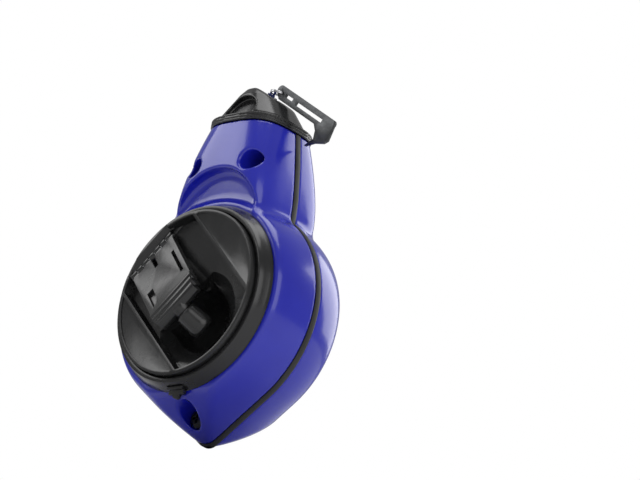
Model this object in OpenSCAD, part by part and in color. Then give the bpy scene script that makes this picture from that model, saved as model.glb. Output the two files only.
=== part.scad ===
// Geared chalk line reel: a two-shell case with a folding crank, a planetary gear train,
// a line spool, a lift-out nose cap and a claw hook on a ring.
// Every piece is drawn lying down (x across, y towards the nose, z out of the seam plane)
// and upright() stands it up: +Z is the nose, -Y is the crank side, and the origin lies on
// the crank axis at the flat back face.

/* [Case] */
// Radius of the round drum at the seam
drum_r = 40; // [36:0.5:46]
// Depth of the front shell, from the seam to the drum's face
front_depth = 19; // [18.5:0.5:24]
// Depth of the rear shell, from the seam to the back face
back_depth = 18.5; // [18:0.5:24]
// Thickness of the shell walls
wall = 2.2; // [1.6:0.1:2.6]
// Distance from the crank axis to the tip of the chin
chin_reach = 49; // [45:0.5:56]
// Radius of the chin's tip
chin_tip_r = 5; // [4:0.5:6]
// Half width of the neck where it leaves the drum
neck_half = 21.4; // [19:0.2:23]
// Half width of the neck under the nose cap
neck_top_half = 16.4; // [15:0.2:17.6]
// Height of the neck's top edge above the crank axis
neck_top = 69; // [66:0.5:80]
// Thickness of the soft seam gasket
gasket_t = 2.4; // [1.6:0.2:3]
// How far the gasket stands proud of the shells
gasket_proud = 0.3; // [0.1:0.1:0.6]
// Radius of the three screw wells
well_hole_r = 4.1; // [3.8:0.1:4.4]

/* [Crank] */
// Radius of the crank disc's face
disc_r = 31.1; // [30.6:0.1:32]
// Height of the disc's face above the drum's face
disc_rise = 7; // [6:0.5:9]
// Height of the disc's face above the collar
disc_proud = 2; // [0.5:0.5:2.5]
// Half width of the channel across the disc
channel_half = 19; // [17:0.5:20]
// Depth of the channel below the disc's face
channel_depth = 4.4; // [3.8:0.2:5]
// Distance from the crank axis to the arm's hinge
hinge_reach = 26; // [25.5:0.25:26.5]
// Width of the folding arm
arm_w = 21.4; // [18:0.2:22]
// Length of the arm, from the hinge to the knob's axle
arm_l = 34.6; // [32:0.2:35.4]
// How far the arm is lifted out of its channel, in degrees
arm_lift = 12; // [0:1:30]
// Lean of the knob's axle from square to the arm, in degrees
knob_lean = 33; // [20:1:40]
// Radius of the knob at its outer end
knob_r = 4.7; // [4:0.1:5.2]
// Length of the knob
knob_l = 10; // [8:0.5:11]

/* [Gears] */
// Module of all the gears
gear_m = 1; // [0.9:0.05:1.05]
// Width of the gears
gear_w = 4; // [3:0.5:4.5]
// Radial running clearance of shafts in their holes
run_gap = 0.05; // [0.03:0.01:0.09]

/* [Spool and line] */
// Radius of the main axle
axle_r = 2.5; // [2:0.1:3]
// Radius of the spool's flanges
flange_r = 30.5; // [28:0.5:32]
// Radius of the wound line
wound_r = 26; // [20:0.5:27]
// Diameter of the braided line
line_d = 0.9; // [0.6:0.1:1.2]

/* [Nose and hook] */
// Height of the nose cap above the neck
nose_h = 17.5; // [15:0.5:22]
// Length of the nose cap's spigot in the neck
spigot_l = 7; // [5:0.5:8]
// Thickness of the hook's plate
hook_t = 1.2; // [0.8:0.1:1.6]
// Width of the hook's plate
hook_w = 5.2; // [4.4:0.2:7]
// Length of the hook, from the ring's hole to the bend
hook_l = 33; // [30:0.5:38]
// Radius of the ring's centre line
ring_r = 2.7; // [2.5:0.1:3]
// Radius of the ring's wire
ring_wire_r = 0.5; // [0.4:0.05:0.6]

/* [Hidden] */
$fn = 96;

blue = [0.09, 0.12, 0.66];
black = [0.05, 0.05, 0.055];
grey = [0.42, 0.43, 0.45];
bright = [0.75, 0.75, 0.78];
white = [0.86, 0.86, 0.84];
chalk_blue = [0.12, 0.16, 0.42];

eps = 0.01;
fit = 0.1;            // all-round clearance of fixed pieces
slack = 0.4;          // gap between moving surfaces
seam_half = gasket_t / 2;

// the drum's dome, front and rear
face_r = drum_r - 3.8;
back_r = drum_r - 7;
dome_steps = 7;
chin_toe = 3;         // height of the chin's front edge above the seam
chin_draft = 1;
tip_y = chin_tip_r - chin_reach;
chin_root_y = -drum_r * 0.3;
chin_brow_y = -face_r - 2;
skin_gap = 0.15;      // keeps the faceted skins inside the drum's true surface

// the neck's sections: height, half width, front depth, rear depth, squareness
neck_front = front_depth + 1.3;
neck_back = back_depth - 2.5;
neck_rows = [
    [drum_r * 0.65, neck_half, neck_front, neck_back, 3.4],
    [neck_top - 26, neck_half - 0.4, neck_front, neck_back, 3.3],
    [neck_top - 12, neck_half * 0.5 + neck_top_half * 0.5, neck_front - 0.8, neck_back - 1, 3.2],
    [neck_top, neck_top_half, neck_front - 2.2, neck_back - 3.4, 3]
];
section_power = 3;

// the thumb scoop in the neck, above the collar
scoop_r = neck_half - 0.4;
scoop_y = neck_top - 40.2;
scoop_floor = front_depth - 2.5;

// case screws: two in the neck, one in the chin
screw_places = [
    [neck_half - 8, neck_top - 17], [8 - neck_half, neck_top - 17], [0, 8 - chin_reach]
];
screw_r = 1.5;
screw_head_r = well_hole_r - 0.5;
screw_seat = 6;
screw_tip = -10;
front_boss_r = well_hole_r + 1.5;
rear_boss_r = screw_r + 1.9;

// gear train: sun on the spool, planets on the crank, ring in the case
sun_z = 15;
planet_z = 12;
ring_z = 39;
pressure = 25;
addendum = 0.8 * gear_m;
dedendum = 1.15 * gear_m;
thinning = 0.16;
planet_turn = 57.5;
planet_reach = gear_m * (sun_z + planet_z) / 2;
gear_foot = 0.4;
gear_top = gear_foot + gear_w;
carrier_foot = gear_top + 0.8;
carrier_t = 1.6;
carrier_top = carrier_foot + carrier_t;
carrier_r = planet_reach + 5.5;
carrier_screw_reach = planet_reach + 2.7;
planet_pin_r = 1.5;
pin_head_r = 2.4;
ring_root = gear_m * ring_z / 2 + dedendum;
ring_body_r = ring_root + 3.2;
ring_flange_r = ring_body_r + 3;
ring_flange_t = 1;

// the round recess for the crank in the front shell
mouth_r = disc_r + 3.1;
recess_floor = gear_top - 0.2;
recess_t = 1.8;
recess_wall = 1.7;

// crank disc
disc_foot = carrier_top;
disc_floor = disc_foot + 1.4;
disc_top = front_depth + disc_rise;
channel_floor = disc_top - channel_depth;
rim_r = disc_r - 1.3;
skirt_r = disc_r - 1.8;
lip_foot = front_depth - 1.7;
lip_top = front_depth + 1.4;
lip_r = disc_r + 1.2;
inset = 0.4;
well_r = 11.8;
well_t = 9.5;         // along the channel
arm_s = -3;           // the arm and its well sit off the channel's middle
tub_wall = 1.8;
channel_turn = -45;   // the way from the hinge to the well

// collar
collar_top = disc_top - disc_proud;
collar_base_r = face_r - 0.8;
collar_top_r = disc_r + 2.2;
collar_bore_r = disc_r + 0.6;
collar_skirt_r = mouth_r - fit;
collar_foot = front_depth - wall - 2.2;
catch_w = 7;
bayonet_turns = [30, 150, 270];
bayonet_twist = 40;   // turn from the entry slots to the locked place
bayonet_w = 12;
bayonet_r = mouth_r + 0.8;
bayonet_t = front_depth - wall - 0.2 - collar_foot;

// arm and hinge
arm_t = 2.5;
pin_r = 1.1;
knuckle_r = 1.7;
hinge_z = channel_floor + knuckle_r + slack + 0.1;
arm_open = 48;        // slope of the arm above level when folded right out
ramp_z = hinge_z - arm_t / 2 / cos(arm_open) - slack;
swing_w = arm_w + 0.6 + 2 * slack;
knuckle_w = 3.1;
knuckle_pitch = 6.3;
lug_r = 1.7;
lug_w = 2.5;
bar_r = 2.4;
knob_axle_r = 1.4;
knob_start = 2.9;
knob_base_r = knob_r - 0.6;

// spool and axle
spool_foot = -back_depth + wall + 0.9;
spool_top = gear_foot - 1;
flange_t = 1.4;
hub_r = 8;
post_r = axle_r + 2.5;
post_top = spool_foot + 4.5;
axle_foot = -back_depth + 0.8;
axle_top = carrier_top - 0.3;
sun_neck_r = 5.2;
sun_neck = 1;

// nose cap, line and hook
cap_fit = 0.3;
spigot_wall = 1.8;
cap_flange = [[cap_fit, 0.6, 0.6], [3.2, 0.1, 0.1]];
cap_crown = [
    [2.4, -1.6, -0.9], [4.6, -2.2, -1.4], [nose_h - 4, -8.6, -5], [nose_h - 1, -10.8, -7],
    [nose_h, -12.6, -8.8]
];
cap_top = neck_top + nose_h;
outlet_r = 2.6;
eyelet_bore_r = line_d / 2 + 0.6;
wiper_t = 4;
wiper_y = neck_top - spigot_l + 1;
// the line's loop holds the ring, and the ring's far side holds the hook
loop_gap = 0.15;
loop_r = ring_wire_r + line_d / 2 + loop_gap;
loop_y = cap_top + 2;
knot_r = 0.8;
knot_y = loop_y - loop_r - line_d / 2;
ring_turn = 13;       // the ring's slope below level
hook_turn = 33;       // the hook's slope below level
hook_hole = [2 * ring_r * cos(ring_turn), loop_y - 2 * ring_r * sin(ring_turn)];
hook_hole_r = ring_wire_r + 0.16;
hook_rest = 0.55;     // gap between the hook and the nose under it

function polar(r, a) = [r * cos(a), r * sin(a)];
function power_at(c, n) = sign(c) * pow(abs(c), 2 / n);
function inv(a) = tan(a) * 180 / PI - a;

// stand a lying piece up: z (out of the seam) becomes -Y, y becomes +Z
module upright() {
    translate([0, -back_depth, 0]) rotate([90, 0, 0]) children();
}

// a straight round rod between two points
module rod(p, q, r) {
    v = q - p;
    len = norm(v);
    translate(p) rotate([0, acos(v[2] / len), atan2(v[1], v[0])]) cylinder(h = len, r = r);
}

// put a drawing on the crank's channel: x runs from the hinge to the well
module on_channel() {
    rotate([0, 0, channel_turn]) children();
}

// flat outline of the whole case, set in from the seam by d
function case_half(d) =
    let (
        r = drum_r - d, tip = chin_tip_r - d,
        shoulder = acos((neck_half - d) / r), flank = -asin((drum_r - chin_tip_r) / -tip_y)
    ) concat(
        [for (i = [len(neck_rows) - 1:-1:1]) [neck_rows[i][1] - d, neck_rows[i][0]]],
        [for (i = [0:24]) polar(r, shoulder + (flank - shoulder) * i / 24)],
        [for (i = [0:5]) polar(tip, flank + (-90 - flank) * i / 6) + [0, tip_y]]
    );

module case_flat(d) {
    right = case_half(d);
    left = [for (i = [len(right) - 1:-1:0]) [-right[i][0], right[i][1]]];
    polygon(concat(right, [[0, d - chin_reach]], left));
}

// one half of the drum's dome: depth is from the seam to the flat face
module dome(depth, flat_r, d, start) {
    run = drum_r - flat_r;
    rim = [
        for (i = [0:dome_steps])
            let (a = 90 * i / dome_steps)
                [flat_r - d + run * cos(a), start + (depth - d - start) * sin(a)]
    ];
    rotate_extrude() polygon(concat([[0, start]], rim, [[0, depth - d]]));
}

// one half of the neck, as a skin over its sections; column 2 is the front, 3 the rear
module neck_body(column, d, start) {
    hull() for (row = neck_rows)
        translate([0, row[0], 0]) rotate([90, 0, 0]) linear_extrude(eps)
            neck_section(row[1] - d, row[column] - d, start, row[4]);
}

module neck_section(half, deep, start, power) {
    polygon(concat(
        [for (a = [0:9:180]) [
            half * power_at(cos(a), power), max(start, deep * power_at(sin(a), power))
        ]],
        [[-half, start], [half, start]]
    ));
}

// a cut from the neck's front face down to the floor of the thumb scoop
module scoop(floor, r) {
    translate([0, scoop_y, floor]) cylinder(h = neck_front, r = r);
}

// the chin: the dome drawn down to a tip, under a slope that runs to the seam
module chin_body(depth, flat_r, d, start) {
    tall = depth - d - start;
    tip = chin_tip_r - d;
    intersection() {
        hull() {
            for (a = [0, 35, 62, 90]) translate([0, 0, start + (tall - eps) * sin(a)])
                cylinder(h = eps, r = flat_r - d + (drum_r - flat_r) * cos(a) - skin_gap, $fn = 48);
            translate([0, tip_y, start]) cylinder(h = tall, r1 = tip, r2 = tip - chin_draft, $fn = 32);
        }
        rotate([90, 0, 90]) translate([0, 0, -drum_r]) linear_extrude(2 * drum_r) polygon([
            [chin_root_y, start], [chin_root_y, depth - d - skin_gap], [chin_brow_y + d, depth - d - skin_gap],
            [-chin_reach + d, chin_toe], [-chin_reach + d, start]
        ]);
    }
}

module shell_outer(depth, flat_r, column) {
    dome(depth, flat_r, 0, seam_half);
    difference() {
        neck_body(column, 0, seam_half);
        if (column == 2) scoop(scoop_floor, scoop_r);
    }
    chin_body(depth, flat_r, 0, seam_half);
}

// the hollow of one shell, open at the seam and at the neck's top
module shell_inner(depth, flat_r, column) {
    dome(depth, flat_r, wall, 0);
    difference() {
        neck_body(column, wall, 0);
        if (column == 2) scoop(scoop_floor - wall, scoop_r + wall);
    }
    chin_body(depth, flat_r, wall, 0);
    // the neck's open top
    translate([0, neck_top + 1, 0]) rotate([90, 0, 0]) linear_extrude(1 + 2 * eps)
        neck_section(neck_top_half - wall, neck_rows[3][column] - wall, 0, section_power);
}

module front_case() {
    color(blue) upright() difference() {
        union() {
            difference() {
                shell_outer(front_depth, face_r, 2);
                shell_inner(front_depth, face_r, 2);
            }
            intersection() {
                shell_outer(front_depth, face_r, 2);
                union() {
                    for (p = screw_places) translate([p[0], p[1], seam_half])
                        cylinder(h = neck_front, r = front_boss_r);
                    translate([0, 0, recess_floor - recess_t])
                        cylinder(h = front_depth - recess_floor + recess_t, r = mouth_r + recess_wall);
                }
            }
        }
        // room for the crank, the ring gear and the collar
        translate([0, 0, recess_floor]) cylinder(h = 40, r = mouth_r);
        translate([0, 0, collar_foot - fit]) cylinder(h = bayonet_t + 2 * fit, r = bayonet_r + fit);
        intersection() {
            cylinder(h = 40, r = bayonet_r + fit);
            for (a = bayonet_turns) rotate([0, 0, a + bayonet_twist])
                translate([0, -bayonet_w / 2 - fit, collar_foot]) cube([60, bayonet_w + 2 * fit, 20]);
        }
        translate([0, 0, seam_half - 1]) cylinder(h = 30, r = ring_body_r + fit / 2);
        translate([0, 0, front_depth]) cylinder(h = 30, r = face_r - 0.4);
        for (p = screw_places) translate([p[0], p[1], 0]) {
            cylinder(h = 60, r = screw_r + fit);
            translate([0, 0, screw_seat]) cylinder(h = 60, r = well_hole_r);
        }
    }
}

module rear_case() {
    post_l = back_depth + post_top;
    color(blue) upright() mirror([0, 0, 1]) difference() {
        union() {
            difference() {
                shell_outer(back_depth, back_r, 3);
                shell_inner(back_depth, back_r, 3);
            }
            intersection() {
                shell_outer(back_depth, back_r, 3);
                for (p = screw_places) translate([p[0], p[1], seam_half])
                    cylinder(h = -screw_tip + 2, r = rear_boss_r);
            }
            for (p = screw_places) translate([p[0], p[1], -seam_half])
                cylinder(h = -screw_tip, r = rear_boss_r);
            translate([0, 0, back_depth - post_l]) cylinder(h = post_l - wall / 2, r = post_r);
        }
        for (p = screw_places) translate([p[0], p[1], -5]) cylinder(h = 6 - screw_tip, r = screw_r);
        translate([0, 0, -10]) cylinder(h = 10 - axle_foot, r = axle_r);
    }
}

module seam_gasket() {
    color(black) upright() translate([0, 0, -seam_half]) linear_extrude(gasket_t) difference() {
        case_flat(-gasket_proud);
        case_flat(wall);
        // open under the nose cap
        translate([wall - neck_top_half, neck_top - 6]) square([2 * (neck_top_half - wall), 12]);
        for (p = screw_places) translate([p[0], p[1]]) circle(rear_boss_r + fit);
    }
}

module case_screws() {
    color(grey) upright() for (p = screw_places) translate([p[0], p[1], 0]) difference() {
        union() {
            translate([0, 0, screw_tip]) cylinder(h = screw_seat - screw_tip, r = screw_r);
            translate([0, 0, screw_seat]) cylinder(h = 1.3, r = screw_head_r);
            translate([0, 0, screw_seat + 1.3]) cylinder(h = 0.9, r1 = screw_head_r, r2 = screw_head_r - 1.2);
        }
        for (a = [0, 90]) rotate([0, 0, a])
            translate([-2, -0.4, screw_seat + 0.9]) cube([4, 0.8, 3]);
    }
}

module main_axle() {
    color(bright) upright() translate([0, 0, axle_foot]) {
        cylinder(h = axle_top - axle_foot - 0.4, r = axle_r);
        translate([0, 0, axle_top - axle_foot - 0.4]) cylinder(h = 0.4, r1 = axle_r, r2 = axle_r - 0.4);
    }
}

// half the angle of a tooth at radius r
function tooth_half(z, r, thin) =
    let (rp = gear_m * z / 2, rb = rp * cos(pressure), s = max(r, rb))
        90 / z - thin / 2 / rp * 180 / PI + inv(pressure) - inv(acos(rb / s));

// an involute gear's flat outline, its first tooth on the x axis
module gear_flat(z, out, into, thin) {
    rp = gear_m * z / 2;
    steps = 5;
    tooth = [for (i = [0:steps]) rp - into + (out + into) * i / steps];
    polygon([
        for (k = [0:z - 1], side = [-1, 1], i = [0:steps])
            let (r = tooth[side < 0 ? i : steps - i])
                polar(r, k * 360 / z + side * tooth_half(z, r, thin))
    ]);
}

module ring_gear() {
    color(white) upright() difference() {
        union() {
            translate([0, 0, gear_foot - 0.4]) cylinder(h = gear_top - gear_foot + 0.4, r = ring_body_r);
            translate([0, 0, recess_floor]) cylinder(h = ring_flange_t, r = ring_flange_r);
        }
        rotate([0, 0, planet_turn + 180 / ring_z]) translate([0, 0, -5]) linear_extrude(20)
            gear_flat(ring_z, dedendum, addendum, -thinning);
        translate([0, 0, gear_top]) cylinder(h = 5, r = carrier_r + 2);
    }
}

module planet_gear(i) {
    turn = planet_turn + 120 * i;
    color(white) upright() rotate([0, 0, turn]) translate([planet_reach, 0, gear_foot]) difference() {
        rotate([0, 0, 180 / planet_z]) linear_extrude(gear_w) gear_flat(planet_z, addendum, dedendum, thinning);
        translate([0, 0, -1]) cylinder(h = gear_w + 2, r = planet_pin_r + run_gap);
    }
}

module planet_gear_1() { planet_gear(0); }
module planet_gear_2() { planet_gear(1); }
module planet_gear_3() { planet_gear(2); }

module sun_gear() {
    color(white) upright() difference() {
        union() {
            translate([0, 0, gear_foot]) rotate([0, 0, planet_turn]) linear_extrude(gear_w)
                gear_flat(sun_z, addendum, dedendum, thinning);
            translate([0, 0, spool_top - sun_neck]) cylinder(h = gear_foot - spool_top + sun_neck, r = sun_neck_r);
        }
        translate([0, 0, -20]) cylinder(h = 40, r = axle_r + run_gap);
    }
}

module planet_carrier() {
    color(black) upright() difference() {
        translate([0, 0, carrier_foot]) cylinder(h = carrier_t, r = carrier_r);
        cylinder(h = 40, r = axle_r + run_gap);
        for (i = [0:2]) rotate([0, 0, planet_turn + 120 * i]) {
            translate([planet_reach, 0, 0]) cylinder(h = 40, r = planet_pin_r);
            rotate([0, 0, 60]) translate([carrier_screw_reach, 0, 0]) cylinder(h = 40, r = 1.1);
        }
    }
}

module planet_pins() {
    color(bright) upright() for (i = [0:2]) rotate([0, 0, planet_turn + 120 * i]) translate([planet_reach, 0, 0]) {
        translate([0, 0, gear_foot - 0.7]) cylinder(h = 0.5, r = pin_head_r);
        translate([0, 0, gear_foot - 0.2]) cylinder(h = carrier_top - gear_foot, r = planet_pin_r);
    }
}

module carrier_screws() {
    color(grey) upright() for (i = [0:2]) rotate([0, 0, planet_turn + 120 * i + 60])
        translate([carrier_screw_reach, 0, 0]) {
            translate([0, 0, carrier_foot - 0.7]) cylinder(h = 0.7, r = 1.9);
            translate([0, 0, carrier_foot]) cylinder(h = carrier_t + 5, r = 1);
        }
}

module crank_collar() {
    color(black) upright() difference() {
        union() {
            rotate_extrude() polygon([
                [collar_bore_r, lip_top + slack], [collar_bore_r, collar_top],
                [collar_top_r, collar_top], [collar_base_r - 0.6, front_depth + 1.2],
                [collar_base_r, front_depth], [collar_skirt_r, front_depth],
                [collar_skirt_r, collar_foot], [lip_r + slack, collar_foot],
                [lip_r + slack, lip_top + slack]
            ]);
            // bayonet lugs under the drum's face
            intersection() {
                translate([0, 0, collar_foot]) rotate_extrude()
                    translate([collar_skirt_r - 0.3, 0]) square([bayonet_r - collar_skirt_r + 0.3, bayonet_t]);
                for (a = bayonet_turns) rotate([0, 0, a])
                    translate([0, -bayonet_w / 2, 0]) cube([60, bayonet_w, 60]);
            }
        }
        // gap for the catch
        translate([-catch_w / 2 - fit, -collar_base_r - 5, front_depth - 0.1])
            cube([catch_w + 2 * fit, 5 + collar_base_r - collar_bore_r - 1.6, 3.4]);
    }
}

// sprung catch that keeps the collar from turning
module collar_catch() {
    y0 = -collar_base_r - 1.2;
    color(black) upright() {
        translate([-catch_w / 2, y0, front_depth]) cube([catch_w, collar_base_r - collar_bore_r - 0.8, 1.6]);
        translate([-catch_w / 2, -collar_base_r + 0.2, front_depth + 1.6])
            cube([catch_w, collar_base_r - collar_bore_r - 2.3, 1.2]);
        translate([0, y0, front_depth]) cylinder(h = 1.6, r = 1.6);
    }
}

module crank_seal() {
    color(black) upright() translate([0, 0, recess_floor]) rotate_extrude()
        polygon([
            [skirt_r - 0.2, 0], [mouth_r - 0.1, 0], [mouth_r - 0.1, 1.2],
            [disc_r + 0.4, 1.6], [skirt_r - 0.2, 1.6]
        ]);
}

// the arm's knob well and the slope that leads into it
module knob_well() {
    translate([well_t, arm_s, disc_floor]) cylinder(h = 40, r = well_r);
    translate([well_t - 8, arm_s - well_r, disc_floor]) cube([8, 2 * well_r, 40]);
    intersection() {
        translate([well_t, arm_s, channel_floor - 3.5]) cylinder(h = 8, r1 = well_r, r2 = well_r + 13);
        translate([0, -channel_half, 0]) cube([60, 2 * channel_half, 60]);
        cylinder(h = 60, r = rim_r);
    }
}

module crank_disc() {
    color(black) upright() difference() {
        union() {
            difference() {
                crank_blank();
                on_channel() {
                    // the channel, open to the ramp behind the hinge
                    difference() {
                        intersection() {
                            translate([-60, -channel_half, channel_floor]) cube([120, 2 * channel_half, 40]);
                            cylinder(h = 60, r = rim_r);
                        }
                        hinge_ramp();
                    }
                    arm_swing();
                    knob_well();
                }
                // shallow panels either side of the channel
                translate([0, 0, disc_top - inset]) linear_extrude(5) difference() {
                    circle(rim_r);
                    rotate(channel_turn) square([200, 2 * channel_half + 2.4], center = true);
                }
            }
            on_channel() hinge_lugs();
        }
        on_channel() translate([-hinge_reach, arm_s + arm_w / 2 + 0.2, hinge_z]) rotate([90, 0, 0])
            cylinder(h = arm_w + 0.4, r = pin_r);
        for (i = [0:2]) rotate([0, 0, planet_turn + 120 * i + 60]) translate([carrier_screw_reach, 0, 0])
            cylinder(h = carrier_top + 5.4, r = 1);
    }
}

module crank_blank() {
    difference() {
        union() {
            translate([0, 0, disc_foot + 0.4]) cylinder(h = disc_top - disc_foot - 0.4, r = disc_r);
            translate([0, 0, lip_foot]) cylinder(h = lip_top - lip_foot, r = lip_r);
        }
        disc_pocket();
    }
    translate([0, 0, disc_foot]) cylinder(h = disc_floor - disc_foot, r = carrier_r);
}

// three lugs between the arm's knuckles carry the hinge pin
module hinge_lugs() {
    for (k = [-1, 0, 1]) translate([-hinge_reach, arm_s + k * knuckle_pitch, 0]) rotate([90, 0, 0])
        linear_extrude(lug_w, center = true) {
            translate([0, hinge_z]) circle(lug_r);
            translate([-lug_r, channel_floor - 1]) square([2 * lug_r, hinge_z - channel_floor + 1]);
        }
}

// the ramp outside the hinge, under the arm when it is folded right out
module hinge_ramp() {
    ramp_x = -hinge_reach - 1.2;
    difference() {
        rotate([90, 0, 0]) linear_extrude(80, center = true) polygon([
            [-60, channel_floor - 1], [-60, ramp_z + (60 - hinge_reach) * tan(arm_open)],
            [ramp_x, ramp_z + 1.2 * tan(arm_open)], [ramp_x, channel_floor - 1]
        ]);
        swing_trough(80);
    }
}

module swing_trough(w) {
    translate([-hinge_reach, w / 2, hinge_z]) rotate([90, 0, 0]) cylinder(h = w, r = knuckle_r + slack);
}

// opens the rim behind the hinge, across the arm's width
module arm_swing() {
    back = knuckle_r + slack;
    translate([0, arm_s, 0]) {
        swing_trough(swing_w);
        rotate([90, 0, 0]) linear_extrude(swing_w, center = true) polygon([
            [-60, ramp_z + (60 - hinge_reach) * tan(arm_open)], [-60, 60],
            [back - hinge_reach, 60], [back - hinge_reach, hinge_z],
            [-hinge_reach - back, hinge_z], [-hinge_reach - back, ramp_z + back * tan(arm_open)]
        ]);
    }
}

// hollow under the disc, clear of the well's tub and the screw bosses
module disc_pocket() {
    difference() {
        cylinder(h = channel_floor - 2, r = skirt_r);
        on_channel() {
            translate([well_t, arm_s, 0]) cylinder(h = 60, r = well_r + tub_wall);
            translate([well_t - 8 - tub_wall, arm_s - well_r - tub_wall, 0])
                cube([8 + tub_wall, 2 * (well_r + tub_wall), 60]);
            translate([well_t, arm_s, channel_floor - 3.5 - tub_wall])
                cylinder(h = 8, r1 = well_r, r2 = well_r + 13);
        }
        for (i = [0:2]) rotate([0, 0, planet_turn + 120 * i + 60]) translate([carrier_screw_reach, 0, 0])
            cylinder(h = 60, r = 2.7);
    }
}

module hinge_pin() {
    color(bright) upright() on_channel() translate([-hinge_reach, arm_s + arm_w / 2, hinge_z])
        rotate([90, 0, 0]) cylinder(h = arm_w, r = pin_r);
}

// the arm's own drawing: x from the hinge, y across, z out of the plate, lifted about the hinge
module on_arm() {
    on_channel() translate([-hinge_reach, arm_s, hinge_z]) rotate([0, -arm_lift, 0]) children();
}

module crank_arm() {
    color(black) upright() on_arm() difference() {
        union() {
            translate([knuckle_r + 0.4, -arm_w / 2, -arm_t / 2]) cube([arm_l - knuckle_r - 4, arm_w, arm_t]);
            for (k = [-1.5:1:1.5]) translate([0, k * knuckle_pitch + knuckle_w / 2, 0]) rotate([90, 0, 0]) {
                cylinder(h = knuckle_w, r = knuckle_r);
                translate([0, -arm_t / 2, 0]) cube([knuckle_r + 0.5, arm_t, knuckle_w]);
            }
            // stepped cross bar that holds the knob's axle
            translate([arm_l - 5.6, arm_w / 2, 0.2]) rotate([90, 0, 0]) cylinder(h = arm_w, r = bar_r - 0.5);
            translate([arm_l - 2.6, arm_w / 2 - 0.4, 0]) rotate([90, 0, 0]) cylinder(h = arm_w - 0.8, r = bar_r);
            translate([arm_l, arm_w / 2 - 1.2, -0.3]) rotate([90, 0, 0]) cylinder(h = arm_w - 2.4, r = bar_r);
            translate([arm_l - 5.6, -arm_w / 2 + 1.2, -bar_r]) cube([5.6, arm_w - 2.4, bar_r]);
            on_knob() cylinder(h = knob_start - 0.3, r = 3.2);
        }
        // pin hole, side slots and pocket
        translate([0, 40, 0]) rotate([90, 0, 0]) cylinder(h = 80, r = pin_r + run_gap);
        translate([9, arm_w / 2 - 3.2, -5]) cube([14, 1.4, 10]);
        translate([knuckle_r + 0.3, -0.9, -5]) cube([6, 1.8, 10]);
        translate([16, -arm_w / 2 + 2.4, -0.2]) cube([9, 3, 5]);
        on_knob() translate([0, 0, -1]) cylinder(h = 20, r = knob_axle_r);
    }
}

module on_knob() {
    translate([arm_l, 0, -0.3]) rotate([0, 180 - knob_lean, 0]) children();
}

module knob_axle() {
    color(grey) upright() on_arm() on_knob() {
        translate([0, 0, -1]) cylinder(h = knob_start + knob_l - 1.8, r = knob_axle_r);
        translate([0, 0, knob_start + knob_l - 2.8]) cylinder(h = 0.8, r = knob_axle_r + 0.9);
    }
}

module crank_knob() {
    hollow_r = knob_axle_r + 0.9 + 2 * run_gap;
    color(black) upright() on_arm() on_knob() rotate_extrude() polygon([
        [knob_axle_r + run_gap, knob_start], [knob_base_r - 0.5, knob_start],
        [knob_base_r, knob_start + 0.5], [knob_r, knob_start + knob_l - 2.2],
        [knob_r - 0.25, knob_start + knob_l - 1.1], [knob_r - 1, knob_start + knob_l - 0.3],
        [knob_r - 2, knob_start + knob_l], [0, knob_start + knob_l],
        [0, knob_start + knob_l - 1.6], [hollow_r, knob_start + knob_l - 1.6],
        [hollow_r, knob_start + knob_l - 3.2], [knob_axle_r + run_gap, knob_start + knob_l - 3.2]
    ]);
}

module spool() {
    color(black) upright() difference() {
        union() {
            translate([0, 0, spool_foot]) cylinder(h = flange_t, r = flange_r);
            translate([0, 0, spool_top - flange_t]) cylinder(h = flange_t, r = flange_r);
            translate([0, 0, spool_foot]) cylinder(h = spool_top - spool_foot, r = hub_r);
        }
        translate([0, 0, -40]) cylinder(h = 80, r = axle_r + run_gap);
        translate([0, 0, -40]) cylinder(h = 40 + post_top + slack, r = post_r + slack);
        translate([0, 0, spool_top - sun_neck]) cylinder(h = 10, r = sun_neck_r);
        // chalk passes through the flanges
        for (i = [0:5]) rotate([0, 0, 60 * i]) translate([flange_r - 10, 0, -40]) cylinder(h = 80, r = 3.5);
    }
}

module wound_line() {
    gap = 0.05;
    color(chalk_blue) upright() rotate_extrude() polygon([
        [hub_r + gap, spool_foot + flange_t + gap], [wound_r - 1, spool_foot + flange_t + gap],
        [wound_r, spool_foot + flange_t + 2], [wound_r, spool_top - flange_t - 2],
        [wound_r - 1, spool_top - flange_t - gap], [hub_r + gap, spool_top - flange_t - gap]
    ]);
}

// skin over sections that grow or shrink from the neck's top: rows of [height, side, depth]
module cap_body(rows, shrink) {
    hull() for (row = rows) translate([0, neck_top + row[0], 0]) rotate([90, 0, 0]) linear_extrude(eps)
        cap_section(neck_top_half + row[1] - shrink, row[2] - shrink);
}

module cap_section(half, grow) {
    front = neck_rows[3][2] + grow;
    rear = neck_rows[3][3] + grow;
    polygon([for (a = [0:12:348]) [
        half * power_at(cos(a), section_power),
        (a < 180 ? front : rear) * power_at(sin(a), section_power)
    ]]);
}

module nose_cap() {
    spigot = [[-spigot_l, -wall - cap_fit, -wall - cap_fit], [0.5, -wall - cap_fit, -wall - cap_fit]];
    inside = [[-spigot_l - 1, -wall, -wall], [3, -wall - 0.3, -wall - 0.3], [nose_h - 6, -9.5, -6.5]];
    color(black) upright() difference() {
        union() {
            cap_body(cap_flange, 0);
            cap_body(cap_crown, 0);
            cap_body(spigot, 0);
        }
        cap_body(inside, spigot_wall + cap_fit);
        // slope under the hook
        on_hook() translate([-40, -hook_w / 2 - hook_rest, -40]) cube([100, 40, 80]);
        // seat of the eyelet
        translate([0, cap_top - 9, 0]) rotate([-90, 0, 0]) cylinder(h = 20, r = outlet_r);
        // thumb hollow on the front
        translate([0, neck_top + 5.2, neck_rows[3][2]]) rotate([-28, 0, 0]) intersection() {
            translate([0, 0, -2.2]) cylinder(h = 10, r = 8);
            translate([-10, 0, -5]) cube([20, 20, 20]);
        }
    }
}

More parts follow.
